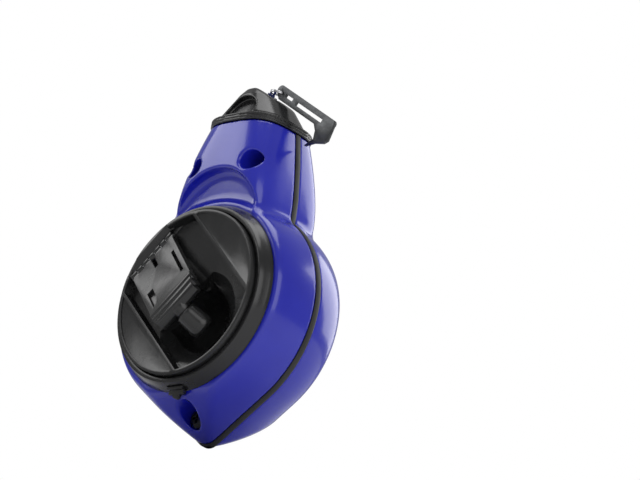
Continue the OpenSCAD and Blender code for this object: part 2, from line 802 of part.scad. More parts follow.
module line_eyelet() {
    color(bright) upright() translate([0, cap_top - 6.5, 0]) rotate([-90, 0, 0]) rotate_extrude() polygon([
        [eyelet_bore_r, 0], [outlet_r - 0.05, 0], [outlet_r - 0.05, 5.4], [outlet_r - 0.6, 5.9],
        [eyelet_bore_r + 0.3, 5.9], [eyelet_bore_r, 5.5]
    ]);
}

module line_wiper() {
    color(white) upright() translate([0, wiper_y, 0]) rotate([-90, 0, 0]) difference() {
        cylinder(h = wiper_t, r = 7);
        translate([0, 0, -1]) cylinder(h = wiper_t + 2, r = line_d / 2);
    }
}

// the line from the spool, through the wiper and the eyelet, to the knot
module line_run() {
    pull_r = wound_r + line_d;
    bend = [0, wiper_y, 0];
    a = acos(pull_r / wiper_y);
    start = [pull_r * sin(a) , pull_r * cos(a), (spool_foot + spool_top) / 2];
    color(chalk_blue) upright() {
        rod(start, bend, line_d / 2);
        rod(bend - [0, 0.1, 0], [0, knot_y - knot_r + 0.02, 0], line_d / 2);
    }
}

// the line's knot, with a loop round the ring's wire
module line_knot() {
    color(chalk_blue) upright() {
        translate([0, loop_y, 0]) rotate_extrude() translate([loop_r, 0]) circle(line_d / 2, $fn = 32);
        translate([0, knot_y, 0]) sphere(r = knot_r, $fn = 32);
    }
}

// split ring that ties the hook to the line; it stands across the hook's plate
module line_ring() {
    color(bright) upright() translate([0, loop_y, 0]) rotate([0, 0, -ring_turn]) translate([ring_r, 0, 0])
        rotate([90, 0, 0]) rotate_extrude() translate([ring_r, 0]) circle(ring_wire_r, $fn = 32);
}

// the hook's own drawing: x runs along the plate, away from the ring's hole
module on_hook() {
    translate([hook_hole[0], hook_hole[1], 0]) rotate([0, 0, -hook_turn]) children();
}

// flat claw hook, stamped from plate
module line_hook() {
    half = hook_w / 2;
    end_r = half - 0.7;
    color(grey) upright() on_hook() translate([0, 0, -hook_t / 2]) linear_extrude(hook_t) difference() {
        union() {
            hull() {
                translate([end_r - 3.4, 0.7]) circle(end_r);
                translate([0, -half]) square([hook_l - 2, hook_w]);
                translate([hook_l - 1.5, half - 1.5]) circle(1.5);
            }
            // claw
            polygon([
                [hook_l - 9.5, -half], [hook_l - 7, -half - 1.8], [hook_l - 5.4, -half - 4.6],
                [hook_l - 7.6, -half - 8.4], [hook_l - 4, -half - 5.6], [hook_l + 0.2, -half - 3.8],
                [hook_l + 1.4, -half - 2.2], [hook_l, 0.5], [hook_l - 9.5, 0.5]
            ]);
        }
        circle(hook_hole_r);
        translate([2.2, -0.55]) square([4.6, 1.1]);
        translate([9.2, -0.9]) square([hook_l - 16, 1.3]);
    }
}

front_case();
rear_case();
seam_gasket();
case_screws();
main_axle();
ring_gear();
crank_collar();
collar_catch();
crank_seal();
crank_disc();
planet_carrier();
carrier_screws();
planet_pins();
hinge_pin();
planet_gear_1();
planet_gear_2();
planet_gear_3();
crank_arm();
knob_axle();
crank_knob();
spool();
sun_gear();
wound_line();
nose_cap();
line_eyelet();
line_wiper();
line_run();
line_knot();
line_ring();
line_hook();
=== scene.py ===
import math
import bmesh
import bpy
import numpy as np
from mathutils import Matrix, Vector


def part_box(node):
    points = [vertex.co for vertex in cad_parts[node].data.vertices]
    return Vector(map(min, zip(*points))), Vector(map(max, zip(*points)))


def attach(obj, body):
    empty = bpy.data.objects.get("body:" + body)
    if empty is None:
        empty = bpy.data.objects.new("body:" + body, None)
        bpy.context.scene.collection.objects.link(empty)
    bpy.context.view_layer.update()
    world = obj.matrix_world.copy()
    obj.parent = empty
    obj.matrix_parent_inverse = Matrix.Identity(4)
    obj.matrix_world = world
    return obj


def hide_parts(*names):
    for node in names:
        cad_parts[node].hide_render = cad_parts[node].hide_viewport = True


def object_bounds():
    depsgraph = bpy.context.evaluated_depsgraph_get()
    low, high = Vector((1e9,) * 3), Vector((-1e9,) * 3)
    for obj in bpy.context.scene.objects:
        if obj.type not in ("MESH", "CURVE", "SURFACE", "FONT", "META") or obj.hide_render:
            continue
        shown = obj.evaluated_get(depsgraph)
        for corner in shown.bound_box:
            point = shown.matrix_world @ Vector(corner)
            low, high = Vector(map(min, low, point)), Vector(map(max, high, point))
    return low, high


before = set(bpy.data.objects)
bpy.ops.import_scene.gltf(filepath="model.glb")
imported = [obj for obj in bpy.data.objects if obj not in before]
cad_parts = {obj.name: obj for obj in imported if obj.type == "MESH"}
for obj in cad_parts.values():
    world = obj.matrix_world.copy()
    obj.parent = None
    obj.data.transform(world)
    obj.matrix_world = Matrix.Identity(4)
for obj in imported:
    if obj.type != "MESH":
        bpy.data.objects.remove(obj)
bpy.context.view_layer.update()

import openvdb
from mathutils import Matrix, Vector

# Geared chalk line reel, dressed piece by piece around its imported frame.
# Pieces are drawn lying down in millimetres: x across, y towards the nose, h out of the seam
# on the crank's side. toFrame() stands them up in the frame, in metres.

mm = 0.001


def middle(node, axis):
    low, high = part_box(node)
    return (low[axis] + high[axis]) / 2


def reachOf(node, axis, side=1):
    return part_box(node)[side > 0][axis] / mm


seamY = middle("seam_gasket", 1)
gasketT = (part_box("seam_gasket")[1][1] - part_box("seam_gasket")[0][1]) / mm

case = {
    "drumR": reachOf("front_case", 0),
    "neckTop": reachOf("front_case", 2),
    "chinReach": -reachOf("front_case", 2, -1),
    "tipR": 5.0,
    "wall": 2.2,
    "neckHalf": 21.4,
    "neckTopHalf": 16.4,
    "seamRound": 0.5,
    "skinRound": 0.4,
    "bossRound": 0.6,
}
frontSide = {"depth": 19.0, "flatR": 36.2, "neckDepth": 21.3, "neckDrop": 3.2}
rearSide = {"depth": 18.5, "flatR": 33.0, "neckDepth": 16.0, "neckDrop": 3.4}
cell = 0.6
room = 1.5                   # space kept round a shell when it is meshed


def toFrame(p):
    return np.stack([p[:, 0], seamY / mm - p[:, 2], p[:, 1]], 1) * mm


def framePoint(x, y, h):
    return Vector((x * mm, seamY - h * mm, y * mm))


# ---------------------------------------------------------------- shapes as distance fields
# A field is the distance to a surface, negative inside. Fields are joined with a soft edge,
# and the surface is meshed once, so every inside and outside corner has a moulded radius.

def softMin(a, b, k):
    t = np.clip(0.5 + (b - a) / (2 * k), 0, 1)
    return b + (a - b) * t - k * t * (1 - t)


def softMax(a, b, k):
    return -softMin(-a, -b, k)


def disc(u, v, r):
    return np.hypot(u, v) - r


def slab(value, low, high):
    return np.abs(value - (low + high) / 2) - (high - low) / 2


meshing = {"far": 9.0, "passes": 4, "step": 0.02, "leastSlope": 0.2, "probe": 0.05}


def meshField(name, field, low, high, size):
    low, high = np.array(low, float), np.array(high, float)
    count = np.ceil((high - low) / size).astype(int) + 1
    axes = [low[i] + size * np.arange(count[i]) for i in range(3)]
    values = field(*np.meshgrid(*axes, indexing="ij"))
    grid = openvdb.FloatGrid(meshing["far"])
    grid.copyFromArray(values.astype(np.float32))
    points, quads = grid.convertToQuads(0)
    points = points.astype(float) * size + low
    for _ in range(meshing["passes"]):     # settle the corners onto the exact surface
        value = field(*points.T)
        slope = np.stack([
            field(*(points + step).T) - field(*(points - step).T)
            for step in np.eye(3) * meshing["step"]
        ], 1) / (2 * meshing["step"])
        steepness = np.maximum((slope ** 2).sum(1), meshing["leastSlope"])
        move = value[:, None] * slope / steepness[:, None]
        points -= np.clip(move, -size / 2, size / 2)
    face = points[quads]
    normal = np.cross(face[:, 2] - face[:, 0], face[:, 3] - face[:, 1])
    normal /= np.linalg.norm(normal, axis=1)[:, None] + 1e-9
    outward = field(*(face.mean(1) + meshing["probe"] * normal).T)
    if (outward < 0).mean() > 0.5:
        quads = quads[:, ::-1]
    return meshPiece(name, toFrame(points), quads)


def meshPiece(name, points, faces, smooth=True):
    mesh = bpy.data.meshes.new(name)
    mesh.from_pydata(points.tolist(), [], [list(map(int, f)) for f in faces])
    mesh.validate()
    if smooth:
        mesh.shade_smooth()
    piece = bpy.data.objects.new(name, mesh)
    bpy.context.scene.collection.objects.link(piece)
    return piece


def dress(piece, material, body, slot, *nodes):
    piece.data.materials.clear()
    piece.data.materials.append(material)
    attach(piece, body)
    if nodes:
        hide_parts(*nodes)
    return piece


# ---------------------------------------------------------------- materials

def newMaterial(name):
    material = bpy.data.materials.new(name)
    material.use_nodes = True
    tree = material.node_tree
    shader = tree.nodes["Principled BSDF"]
    place = tree.nodes.new("ShaderNodeTexCoord")
    return material, tree, shader, place.outputs["Object"]


def noiseOn(tree, place, scale, detail=3.0, rough=0.5, stretch=None):
    if stretch:
        mapping = tree.nodes.new("ShaderNodeMapping")
        mapping.inputs["Scale"].default_value = stretch
        tree.links.new(place, mapping.inputs["Vector"])
        place = mapping.outputs["Vector"]
    noise = tree.nodes.new("ShaderNodeTexNoise")
    noise.inputs["Scale"].default_value = scale
    noise.inputs["Detail"].default_value = detail
    noise.inputs["Roughness"].default_value = rough
    tree.links.new(place, noise.inputs["Vector"])
    return noise.outputs["Fac"]


def rampOf(tree, value, low, high, fromMin=0.35, fromMax=0.65):
    ramp = tree.nodes.new("ShaderNodeMapRange")
    ramp.inputs["From Min"].default_value = fromMin
    ramp.inputs["From Max"].default_value = fromMax
    ramp.inputs["To Min"].default_value = low
    ramp.inputs["To Max"].default_value = high
    tree.links.new(value, ramp.inputs["Value"])
    return ramp.outputs["Result"]


def blendColours(tree, value, first, second):
    mix = tree.nodes.new("ShaderNodeMix")
    mix.data_type = "RGBA"
    mix.inputs[6].default_value = (*first, 1)
    mix.inputs[7].default_value = (*second, 1)
    tree.links.new(value, mix.inputs[0])
    return mix.outputs[2]


def bumpOn(tree, shader, height, strength, distance):
    bump = tree.nodes.new("ShaderNodeBump")
    bump.inputs["Strength"].default_value = strength
    bump.inputs["Distance"].default_value = distance
    tree.links.new(height, bump.inputs["Height"])
    tree.links.new(bump.outputs["Normal"], shader.inputs["Normal"])


plastics = {
    "casePlastic": {"colour": (0.014, 0.020, 0.44), "deep": (0.010, 0.014, 0.38), "rough": (0.17, 0.26),
                    "orangePeel": 0.035, "coat": 0.35},
    "collarPlastic": {"colour": (0.011, 0.011, 0.012), "deep": (0.007, 0.007, 0.0075), "rough": (0.20, 0.30),
                      "orangePeel": 0.05, "coat": 0.1},
    "crankPlastic": {"colour": (0.016, 0.0165, 0.017), "deep": (0.010, 0.010, 0.0105), "rough": (0.18, 0.30),
                     "orangePeel": 0.05, "coat": 0.0},
}


glossGrain = {"cloud": 38, "rubs": 160, "rubStretch": (1, 1, 0.22), "dust": 900, "dustShare": 0.35,
              "rubRange": (0.5, 0.95), "peel": 420, "peelDepth": 0.0004}


def glossyPlastic(name):
    look = plastics[name]
    material, tree, shader, place = newMaterial(name)
    cloud = noiseOn(tree, place, glossGrain["cloud"], 3)
    tree.links.new(blendColours(tree, rampOf(tree, cloud, 0, 1), look["colour"], look["deep"]),
                   shader.inputs["Base Color"])
    # faint rubs from handling, drawn out one way, and a fine mist of dust in the gloss
    rubs = noiseOn(tree, place, glossGrain["rubs"], 4, 0.62, glossGrain["rubStretch"])
    dust = noiseOn(tree, place, glossGrain["dust"], 2)
    mix = tree.nodes.new("ShaderNodeMath")
    mix.operation = "MULTIPLY_ADD"
    mix.inputs[1].default_value = glossGrain["dustShare"]
    tree.links.new(dust, mix.inputs[0])
    tree.links.new(rubs, mix.inputs[2])
    rough = rampOf(tree, mix.outputs[0], *look["rough"], *glossGrain["rubRange"])
    tree.links.new(rough, shader.inputs["Roughness"])
    peel = noiseOn(tree, place, glossGrain["peel"], 1)
    bumpOn(tree, shader, peel, look["orangePeel"], glossGrain["peelDepth"])
    shader.inputs["IOR"].default_value = 1.5
    shader.inputs["Coat Weight"].default_value = look["coat"]
    shader.inputs["Coat Roughness"].default_value = 0.08
    return material


def mattePlastic(name, colour, deep, rough):
    material, tree, shader, place = newMaterial(name)
    cloud = noiseOn(tree, place, 60, 4)
    tree.links.new(blendColours(tree, rampOf(tree, cloud, 0, 1), colour, deep), shader.inputs["Base Color"])
    grain = noiseOn(tree, place, 2600, 2)
    tree.links.new(rampOf(tree, grain, rough - 0.06, rough + 0.08), shader.inputs["Roughness"])
    bumpOn(tree, shader, grain, 0.25, 0.00012)
    return material


def steel(name, colour, deep, rough, brushing):
    material, tree, shader, place = newMaterial(name)
    shader.inputs["Metallic"].default_value = 1.0
    patina = noiseOn(tree, place, 90, 5, 0.6)
    tree.links.new(blendColours(tree, rampOf(tree, patina, 0, 1), colour, deep), shader.inputs["Base Color"])
    grain = noiseOn(tree, place, 700, 3, 0.6, brushing)
    tree.links.new(rampOf(tree, grain, rough[0], rough[1], 0.3, 0.7), shader.inputs["Roughness"])
    pits = noiseOn(tree, place, 1500, 2)
    bumpOn(tree, shader, pits, 0.12, 0.0001)
    return material


def softFelt(name, colour, deep):
    material, tree, shader, place = newMaterial(name)
    fibres = noiseOn(tree, place, 1400, 5, 0.7, (1, 1, 0.35))
    tree.links.new(blendColours(tree, rampOf(tree, fibres, 0, 1), colour, deep), shader.inputs["Base Color"])
    shader.inputs["Roughness"].default_value = 0.95
    shader.inputs["Sheen Weight"].default_value = 0.3
    bumpOn(tree, shader, fibres, 0.6, 0.0004)
    return material


def braidedLine(name):
    material, tree, shader, place = newMaterial(name)
    wave = tree.nodes.new("ShaderNodeTexWave")
    wave.bands_direction = "DIAGONAL"
    wave.inputs["Scale"].default_value = 900
    wave.inputs["Distortion"].default_value = 1.5
    wave.inputs["Detail"].default_value = 2
    tree.links.new(place, wave.inputs["Vector"])
    chalk = noiseOn(tree, place, 500, 4)
    tree.links.new(blendColours(tree, rampOf(tree, chalk, 0, 1), (0.012, 0.02, 0.11), (0.05, 0.07, 0.26)),
                   shader.inputs["Base Color"])
    shader.inputs["Roughness"].default_value = 0.85
    bumpOn(tree, shader, wave.outputs["Fac"], 0.7, 0.0002)
    return material


materials = {
    "case": glossyPlastic("casePlastic"),
    "collar": glossyPlastic("collarPlastic"),
    "crank": glossyPlastic("crankPlastic"),
    "rubber": mattePlastic("gasketRubber", (0.016, 0.016, 0.013), (0.010, 0.010, 0.009), 0.55),
    "nylon": mattePlastic("gearNylon", (0.72, 0.71, 0.65), (0.60, 0.59, 0.53), 0.45),
    "spool": mattePlastic("spoolPlastic", (0.05, 0.05, 0.055), (0.03, 0.03, 0.033), 0.5),
    "bright": steel("nickelSteel", (0.78, 0.78, 0.80), (0.60, 0.60, 0.62), (0.10, 0.22), (1, 1, 1)),
    "screw": steel("screwSteel", (0.045, 0.045, 0.048), (0.03, 0.03, 0.032), (0.28, 0.42), (1, 1, 1)),
    "hook": steel("hookSteel", (0.10, 0.103, 0.106), (0.055, 0.057, 0.06), (0.30, 0.46), (0.25, 1, 1)),
    "felt": softFelt("pressedFelt", (0.50, 0.50, 0.47), (0.34, 0.34, 0.33)),
    "line": braidedLine("braidedLine"),
}
print("materials:", len(materials))


# ---------------------------------------------------------------- the case's two shells

def dropShape(x, y, bigR, tipR):   # distance to a drop: a big circle drawn down to a small one
    span = case["chinReach"] - case["tipR"]
    px, py = np.abs(x), -y
    b = (bigR - tipR) / span
    a = math.sqrt(1 - b * b)
    k = a * py - b * px
    return np.where(k < 0, np.hypot(px, py) - bigR,
                    np.where(k > a * span, np.hypot(px, py - span) - tipR, a * px + b * py - bigR))


def drumField(x, y, h, side):
    run = case["drumR"] - side["flatR"]
    out = np.maximum(dropShape(x, y, side["flatR"], case["tipR"] - run), 0) / run
    up = np.maximum(h, 0) / side["depth"]
    g = np.sqrt(out * out + up * up) + 1e-9
    slope = np.sqrt((out / run) ** 2 + (up / side["depth"]) ** 2) / g
    return (g - 1) / np.maximum(slope, 1 / side["depth"])


chin = {"browY": 36.6, "browIn": 1.4, "toeH": 3.0, "toeIn": 1.2, "bowR": 64.0, "edge": 1.6}


def chinSlope(y, h, side):         # the bowed front facet, from under the collar to the tip
    topY, topH = -chin["browY"], side["depth"] - chin["browIn"]
    endY, endH = -case["chinReach"] + chin["toeIn"], chin["toeH"]
    span = math.hypot(endY - topY, endH - topH)
    midY, midH = (topY + endY) / 2, (topH + endH) / 2
    back = math.sqrt(chin["bowR"] ** 2 - span ** 2 / 4) / span
    return disc(y - midY - (endH - topH) * -back, h - midH - (endY - topY) * back, chin["bowR"])


neck = {
    "footY": 12.0, "startY": 38.0, "thinY": 44.0, "narrowing": 1.35, "thinning": 1.4, "past": 1.2,
    "power": 5.2, "topPower": 3.2, "blend": 2.6,
    "scoopR": 20.0, "scoopDrop": 39.2, "scoopFloor": 16.5, "scoopRound": 3.4, "scoopEdge": 0.9,
}


def powerDistance(a, b, half, depth, n):     # distance to a rounded rectangle, from its shares a and b
    g = (a ** n + b ** n) ** (1 / n)
    slope = g ** (1 - n) * np.sqrt((a ** (n - 1) / half) ** 2 + (b ** (n - 1) / depth) ** 2)
    return (g - 1) / np.maximum(slope, 1 / half)


def neckShare(y, start):           # 0 at the start height, 1 at the neck's top
    return np.clip((y - start) / (case["neckTop"] - start), 0, neck["past"])


def neckField(x, y, h, side):
    up = neckShare(y, neck["startY"]) ** neck["narrowing"]
    thin = neckShare(y, neck["thinY"]) ** neck["thinning"]
    half = case["neckHalf"] - (case["neckHalf"] - case["neckTopHalf"]) * up
    depth = side["neckDepth"] - side["neckDrop"] * thin
    n = neck["power"] + (neck["topPower"] - neck["power"]) * up
    a = np.abs(x) / half + 1e-6
    b = np.maximum(h, 0) / depth + 1e-6
    return np.maximum(powerDistance(a, b, half, depth, n), neck["footY"] - y)


def scoopField(x, y, h):           # a round dish above the collar with a deep fillet at its foot
    wall = disc(x, y - (case["neckTop"] - neck["scoopDrop"]), neck["scoopR"])
    return softMax(wall, neck["scoopFloor"] - h, neck["scoopRound"])


def bodyField(x, y, h, side):
    drum = softMax(drumField(x, y, h, side), chinSlope(y, h, side), chin["edge"])
    body = neckField(x, y, h, side)
    if side is frontSide:
        body = softMax(body, -scoopField(x, y, h), neck["scoopEdge"])
    return softMin(drum, body, neck["blend"])


wells = {
    "places": [(13.4, 52.0), (-13.4, 52.0), (0.0, -41.0)],
    "r": 4.0, "seat": 6.0, "bossR": 5.6, "lip": 0.8, "shankR": 1.6,
    "postR": 3.4, "threadR": 1.5, "threadEnd": 11.0,
}
mouth = {"r": reachOf("crank_seal", 0) + 0.1, "floor": 4.2, "ledge": 1.8, "wallR": 35.9, "seatR": 35.8,
         "boreR": 27.0}
axle = {"postR": 5.0, "postTop": 8.0, "boreR": 2.5, "boreEnd": 17.7}


def shellField(outer):
    return softMax(outer, -(outer + case["wall"]), case["skinRound"])


def addBoss(field, boss, outer):
    return softMin(field, np.maximum(boss, outer), case["bossRound"])


def trimShell(field, y, depth):    # the flat seam and the flat top of the neck
    field = softMax(field, gasketT / 2 - depth, case["seamRound"])
    return softMax(field, y - case["neckTop"], case["skinRound"])


def frontField(x, y, h):
    outer = bodyField(x, y, h, frontSide)
    field = shellField(outer)
    r = np.hypot(x, y)
    ring = np.maximum(r - mouth["wallR"], mouth["floor"] - mouth["ledge"] - h)
    field = np.minimum(field, np.maximum(ring, outer))
    for px, py in wells["places"]:
        field = addBoss(field, disc(x - px, y - py, wells["bossR"]), outer)
    field = np.maximum(field, outer)
    field = softMax(field, -np.maximum(r - mouth["r"], mouth["floor"] - h), case["skinRound"])
    field = np.maximum(field, -np.maximum(r - mouth["boreR"], -h))
    field = softMax(field, -np.maximum(r - mouth["seatR"], frontSide["depth"] - h), case["skinRound"])
    for px, py in wells["places"]:
        hole = np.maximum(disc(x - px, y - py, wells["r"]), wells["seat"] - h)
        field = softMax(field, -hole, wells["lip"])
        field = np.maximum(field, -disc(x - px, y - py, wells["shankR"]))
    return trimShell(field, y, h)


def rearField(x, y, h):
    depth = -h
    outer = np.maximum(bodyField(x, y, depth, rearSide), depth - rearSide["depth"])
    field = shellField(outer)
    for px, py in wells["places"]:
        field = addBoss(field, disc(x - px, y - py, wells["postR"]), outer)
    field = addBoss(field, np.maximum(disc(x, y, axle["postR"]), axle["postTop"] - depth), outer)
    field = np.maximum(field, outer)
    field = np.maximum(field, -np.maximum(disc(x, y, axle["boreR"]), depth - axle["boreEnd"]))
    for px, py in wells["places"]:
        thread = np.maximum(disc(x - px, y - py, wells["threadR"]), depth - wells["threadEnd"])
        field = np.maximum(field, -thread)
    return trimShell(field, y, depth)


def buildCase():
    side = case["drumR"] + room
    low, high = -case["chinReach"] - room, case["neckTop"] + room
    top = frontSide["neckDepth"] + room
    front = meshField("frontShell", frontField, (-side, low, 0), (side, high, top), cell)
    dress(front, materials["case"], "case", "blue_case", "front_case")
    rear = meshField("rearShell", rearField, (-side, low, -rearSide["depth"] - room), (side, high, 0), cell)
    dress(rear, materials["case"], "case", "blue_case", "rear_case")


buildCase()
print("case shells")


# ---------------------------------------------------------------- nose cap

nose = {
    "foot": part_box("nose_cap")[0][2] / mm, "top": reachOf("nose_cap", 2),
    "seatY": case["neckTop"] + 0.3, "flangeTop": case["neckTop"] + 3.2,
    # sections of the crown, from the flange up: height, half width, front depth, rear depth
    "rows": [(71.0, 14.9, 17.3, 11.8), (73.6, 14.2, 16.7, 11.2), (82.5, 7.8, 13.1, 7.6),
             (85.5, 5.6, 11.1, 5.6), (86.6, 3.8, 9.3, 3.8)],
    "power": 3.0, "steepness": 0.82, "topRound": 1.4, "cell": 0.4, "quickCell": 0.8,
    # half width, front depth and rear depth
    "flange": (17.0, 18.7, 13.2), "spigot": (13.9, 15.6, 10.1), "spigotTop": 70.5,
    "grooves": (0.9, 1.9), "grooveHalf": 0.2, "grooveDeep": 0.35,
    "skin": 1.8, "hollowFrom": 69.0, "hollowTop": 80.0,
    "thumbR": 6.7, "thumbY": 74.6, "thumbDeep": 1.5, "thumbRound": 1.0, "thumbEdge": 0.6,
    "slitH": 8.5, "slitHalf": 0.28, "slitX": -4.0, "slitY": 74.5, "slitDeep": 0.9,
    "restTurn": 33.0, "restX": 3.55, "restY": 84.6, "restRound": 0.7,
    "outletR": 2.6, "outletFrom": 77.5,
}


def ovalField(x, h, half, front, rear):
    depth = np.where(h > 0, front, rear)
    a = np.abs(x) / half + 1e-6
    b = np.abs(h) / depth + 1e-6
    return powerDistance(a, b, half, depth, nose["power"])


def crownField(x, y, h):
    rows = np.array(nose["rows"])
    half, front, rear = (np.interp(y, rows[:, 0], rows[:, k]) for k in (1, 2, 3))
    body = ovalField(x, h, half, front, rear) * nose["steepness"]
    return softMax(softMax(body, y - nose["top"], nose["topRound"]), nose["rows"][0][0] - y, 0.1)


def noseField(x, y, h):
    skin = crownField(x, y, h)
    thumb = disc(x, y - nose["thumbY"], nose["thumbR"])
    thumb = softMax(thumb, -(skin + nose["thumbDeep"]), nose["thumbRound"])
    crown = softMax(skin, -np.maximum(thumb, -h), nose["thumbEdge"])
    # a slit along the left slope
    slitEnds = np.maximum(-(skin + nose["slitDeep"]), nose["slitY"] - y)
    slit = np.maximum(np.maximum(np.abs(h - nose["slitH"]) - nose["slitHalf"], x - nose["slitX"]), slitEnds)
    crown = softMax(crown, -slit, 0.2)
    rim = ovalField(x, h, *nose["flange"])
    band = softMax(rim, slab(y, nose["seatY"], nose["flangeTop"]), 0.5)
    for line in nose["grooves"]:
        cut = np.abs(y - nose["seatY"] - line) - nose["grooveHalf"]
        band = softMax(band, -np.maximum(cut, -(rim + nose["grooveDeep"])), 0.15)
    field = softMin(crown, band, 0.5)
    spigot = ovalField(x, h, *nose["spigot"])
    field = np.minimum(field, softMax(spigot, slab(y, nose["foot"], nose["spigotTop"]), 0.4))
    inner = np.maximum(spigot + nose["skin"], skin * (y > nose["hollowFrom"]) + 2 * nose["skin"])
    field = softMax(field, -np.maximum(inner, y - nose["hollowTop"]), 0.2)
    # the slope that the hook lies on, and the line's outlet
    turn = math.radians(nose["restTurn"])
    rest = (x - nose["restX"]) * math.sin(turn) + (y - nose["restY"]) * math.cos(turn)
    field = softMax(field, rest, nose["restRound"])
    return softMax(field, -np.maximum(disc(x, h, nose["outletR"]), nose["outletFrom"] - y), 0.4)


def buildNose():
    half, front, rear = nose["flange"]
    low = (-half - room, nose["foot"] - 1, -rear - 1.8)
    high = (half + room, nose["top"] + 1, front + 1.8)
    cap = meshField("noseCap", noseField, low, high, nose["cell"])
    dress(cap, materials["collar"], "nose", "black_gloss", "nose_cap")


buildNose()
print("nose cap")


# ---------------------------------------------------------------- moulded and stamped pieces

softening = {"merge": 0.004, "flat": 0.6, "corner": 28, "steps": 2, "shadeSharp": 35}


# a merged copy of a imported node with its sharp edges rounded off
def softenedPiece(name, node, edge):
    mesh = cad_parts[node].data.copy()
    mesh.name = name
    shape = bmesh.new()
    shape.from_mesh(mesh)
    bmesh.ops.remove_doubles(shape, verts=shape.verts, dist=softening["merge"] * mm)
    flat, corner = (math.radians(softening[k]) for k in ("flat", "corner"))
    bmesh.ops.dissolve_limit(shape, angle_limit=flat, verts=shape.verts, edges=shape.edges)
    corners = [e for e in shape.edges if len(e.link_faces) == 2 and e.calc_face_angle(0) > corner]
    bmesh.ops.bevel(shape, geom=corners, offset=edge * mm, segments=softening["steps"], profile=0.5,
                    affect="EDGES", clamp_overlap=True)
    bmesh.ops.triangulate(shape, faces=[f for f in shape.faces if len(f.verts) > 4])
    shape.to_mesh(mesh)
    shape.free()
    mesh.shade_smooth()
    mesh.set_sharp_from_angle(angle=math.radians(softening["shadeSharp"]))
    piece = bpy.data.objects.new(name, mesh)
    bpy.context.scene.collection.objects.link(piece)
    return piece


moulded = [
    # piece, node, material, body, slot, edge radius
    ("seamBead", "seam_gasket", "rubber", "case", "black_rubber", 0.25),
    ("collarRing", "crank_collar", "collar", "case", "black_gloss", 0.3),
    ("collarLatch", "collar_catch", "collar", "case", "black_gloss", 0.25),
    ("crankPlate", "crank_disc", "crank", "crank", "black_satin", 0.3),
    ("foldingArm", "crank_arm", "crank", "arm", "black_satin", 0.3),
    ("turningKnob", "crank_knob", "crank", "knob", "black_satin", 0.2),
    ("clawHook", "line_hook", "hook", "hook", "hook_steel", 0.22),
    ("caseScrews", "case_screws", "screw", "case", "screw_steel", 0.1),
]


def buildMoulded():
    for name, node, material, body, slotName, edge in moulded:
        dress(softenedPiece(name, node, edge), materials[material], body, slotName, node)


buildMoulded()
print("moulded pieces:", len(moulded))


# ---------------------------------------------------------------- wire and line, swept along their paths

def sweepTree():
    tree = bpy.data.node_groups.new("roundSweep", "GeometryNodeTree")
    tree.interface.new_socket("Geometry", in_out="INPUT", socket_type="NodeSocketGeometry")
    radius = tree.interface.new_socket("Radius", in_out="INPUT", socket_type="NodeSocketFloat")
    finish = tree.interface.new_socket("Finish", in_out="INPUT", socket_type="NodeSocketMaterial")
    tree.interface.new_socket("Geometry", in_out="OUTPUT", socket_type="NodeSocketGeometry")
    start = tree.nodes.new("NodeGroupInput")
    end = tree.nodes.new("NodeGroupOutput")
    section = tree.nodes.new("GeometryNodeCurvePrimitiveCircle")
    section.inputs["Resolution"].default_value = 14
    sweep = tree.nodes.new("GeometryNodeCurveToMesh")
    sweep.inputs["Fill Caps"].default_value = True
    real = tree.nodes.new("GeometryNodeRealizeInstances")
    paint = tree.nodes.new("GeometryNodeSetMaterial")
    tree.links.new(start.outputs["Radius"], section.inputs["Radius"])
    tree.links.new(start.outputs["Geometry"], sweep.inputs["Curve"])
    tree.links.new(section.outputs["Curve"], sweep.inputs["Profile Curve"])
    tree.links.new(sweep.outputs["Mesh"], real.inputs["Geometry"])
    tree.links.new(real.outputs["Geometry"], paint.inputs["Geometry"])
    tree.links.new(start.outputs["Finish"], paint.inputs["Material"])
    tree.links.new(paint.outputs["Geometry"], end.inputs["Geometry"])
    return tree, radius.identifier, finish.identifier


roundSweep, radiusInput, finishInput = sweepTree()


def sweptPiece(name, points, radius, material, closed=False):
    curve = bpy.data.curves.new(name, "CURVE")
    curve.dimensions = "3D"
    path = curve.splines.new("POLY")
    path.points.add(len(points) - 1)
    for spot, (x, y, h) in zip(path.points, points):
        spot.co = (*framePoint(x, y, h), 1)
    path.use_cyclic_u = closed
    guide = bpy.data.objects.new(name + "Path", curve)
    bpy.context.scene.collection.objects.link(guide)
    sweep = guide.modifiers.new("sweep", "NODES")
    sweep.node_group = roundSweep
    sweep[radiusInput] = radius * mm
    sweep[finishInput] = material
    bpy.context.view_layer.update()
    made = bpy.data.meshes.new_from_object(guide.evaluated_get(bpy.context.evaluated_depsgraph_get()))
    made.name = name
    bpy.data.objects.remove(guide)
    made.shade_smooth()
    piece = bpy.data.objects.new(name, made)
    bpy.context.scene.collection.objects.link(piece)
    return piece


ring = {"wire": 0.3, "loopY": case["neckTop"] + 19.5, "slope": 13.0, "r": 2.7, "halfPitch": 0.22,
        "steps": 48, "crossover": 5}
knot = {
    "cord": 0.42, "loopR": 1.08,
    "turns": 3.0, "wrapR": 0.55, "wrapCord": 0.34, "wrapDrop": 2.15, "wrapLength": 0.9, "steps": 60,
    "tailCord": 0.26, "tailDrop": 1.5, "tailBend": 1.5, "tails": [(-1.6, 0.9, 1.1), (-0.9, 1.6, 0.2)],
}


def buildRing():
    # a split ring: two turns of wire side by side
    slope = math.radians(ring["slope"])
    points = []
    for i in range(2 * ring["steps"] + 1):
        a = 2 * math.pi * i / ring["steps"]
        along = ring["r"] * (1 - math.cos(a))
        side = ring["halfPitch"] * math.tanh((i - ring["steps"]) / ring["crossover"])
        x = along * math.cos(slope) + side * math.sin(slope)
        y = ring["loopY"] - along * math.sin(slope) + side * math.cos(slope)
        points.append((x, y, ring["r"] * math.sin(a)))
    wire = sweptPiece("splitRing", points, ring["wire"], materials["bright"])
    dress(wire, materials["bright"], "ring", "bright_steel", "line_ring")


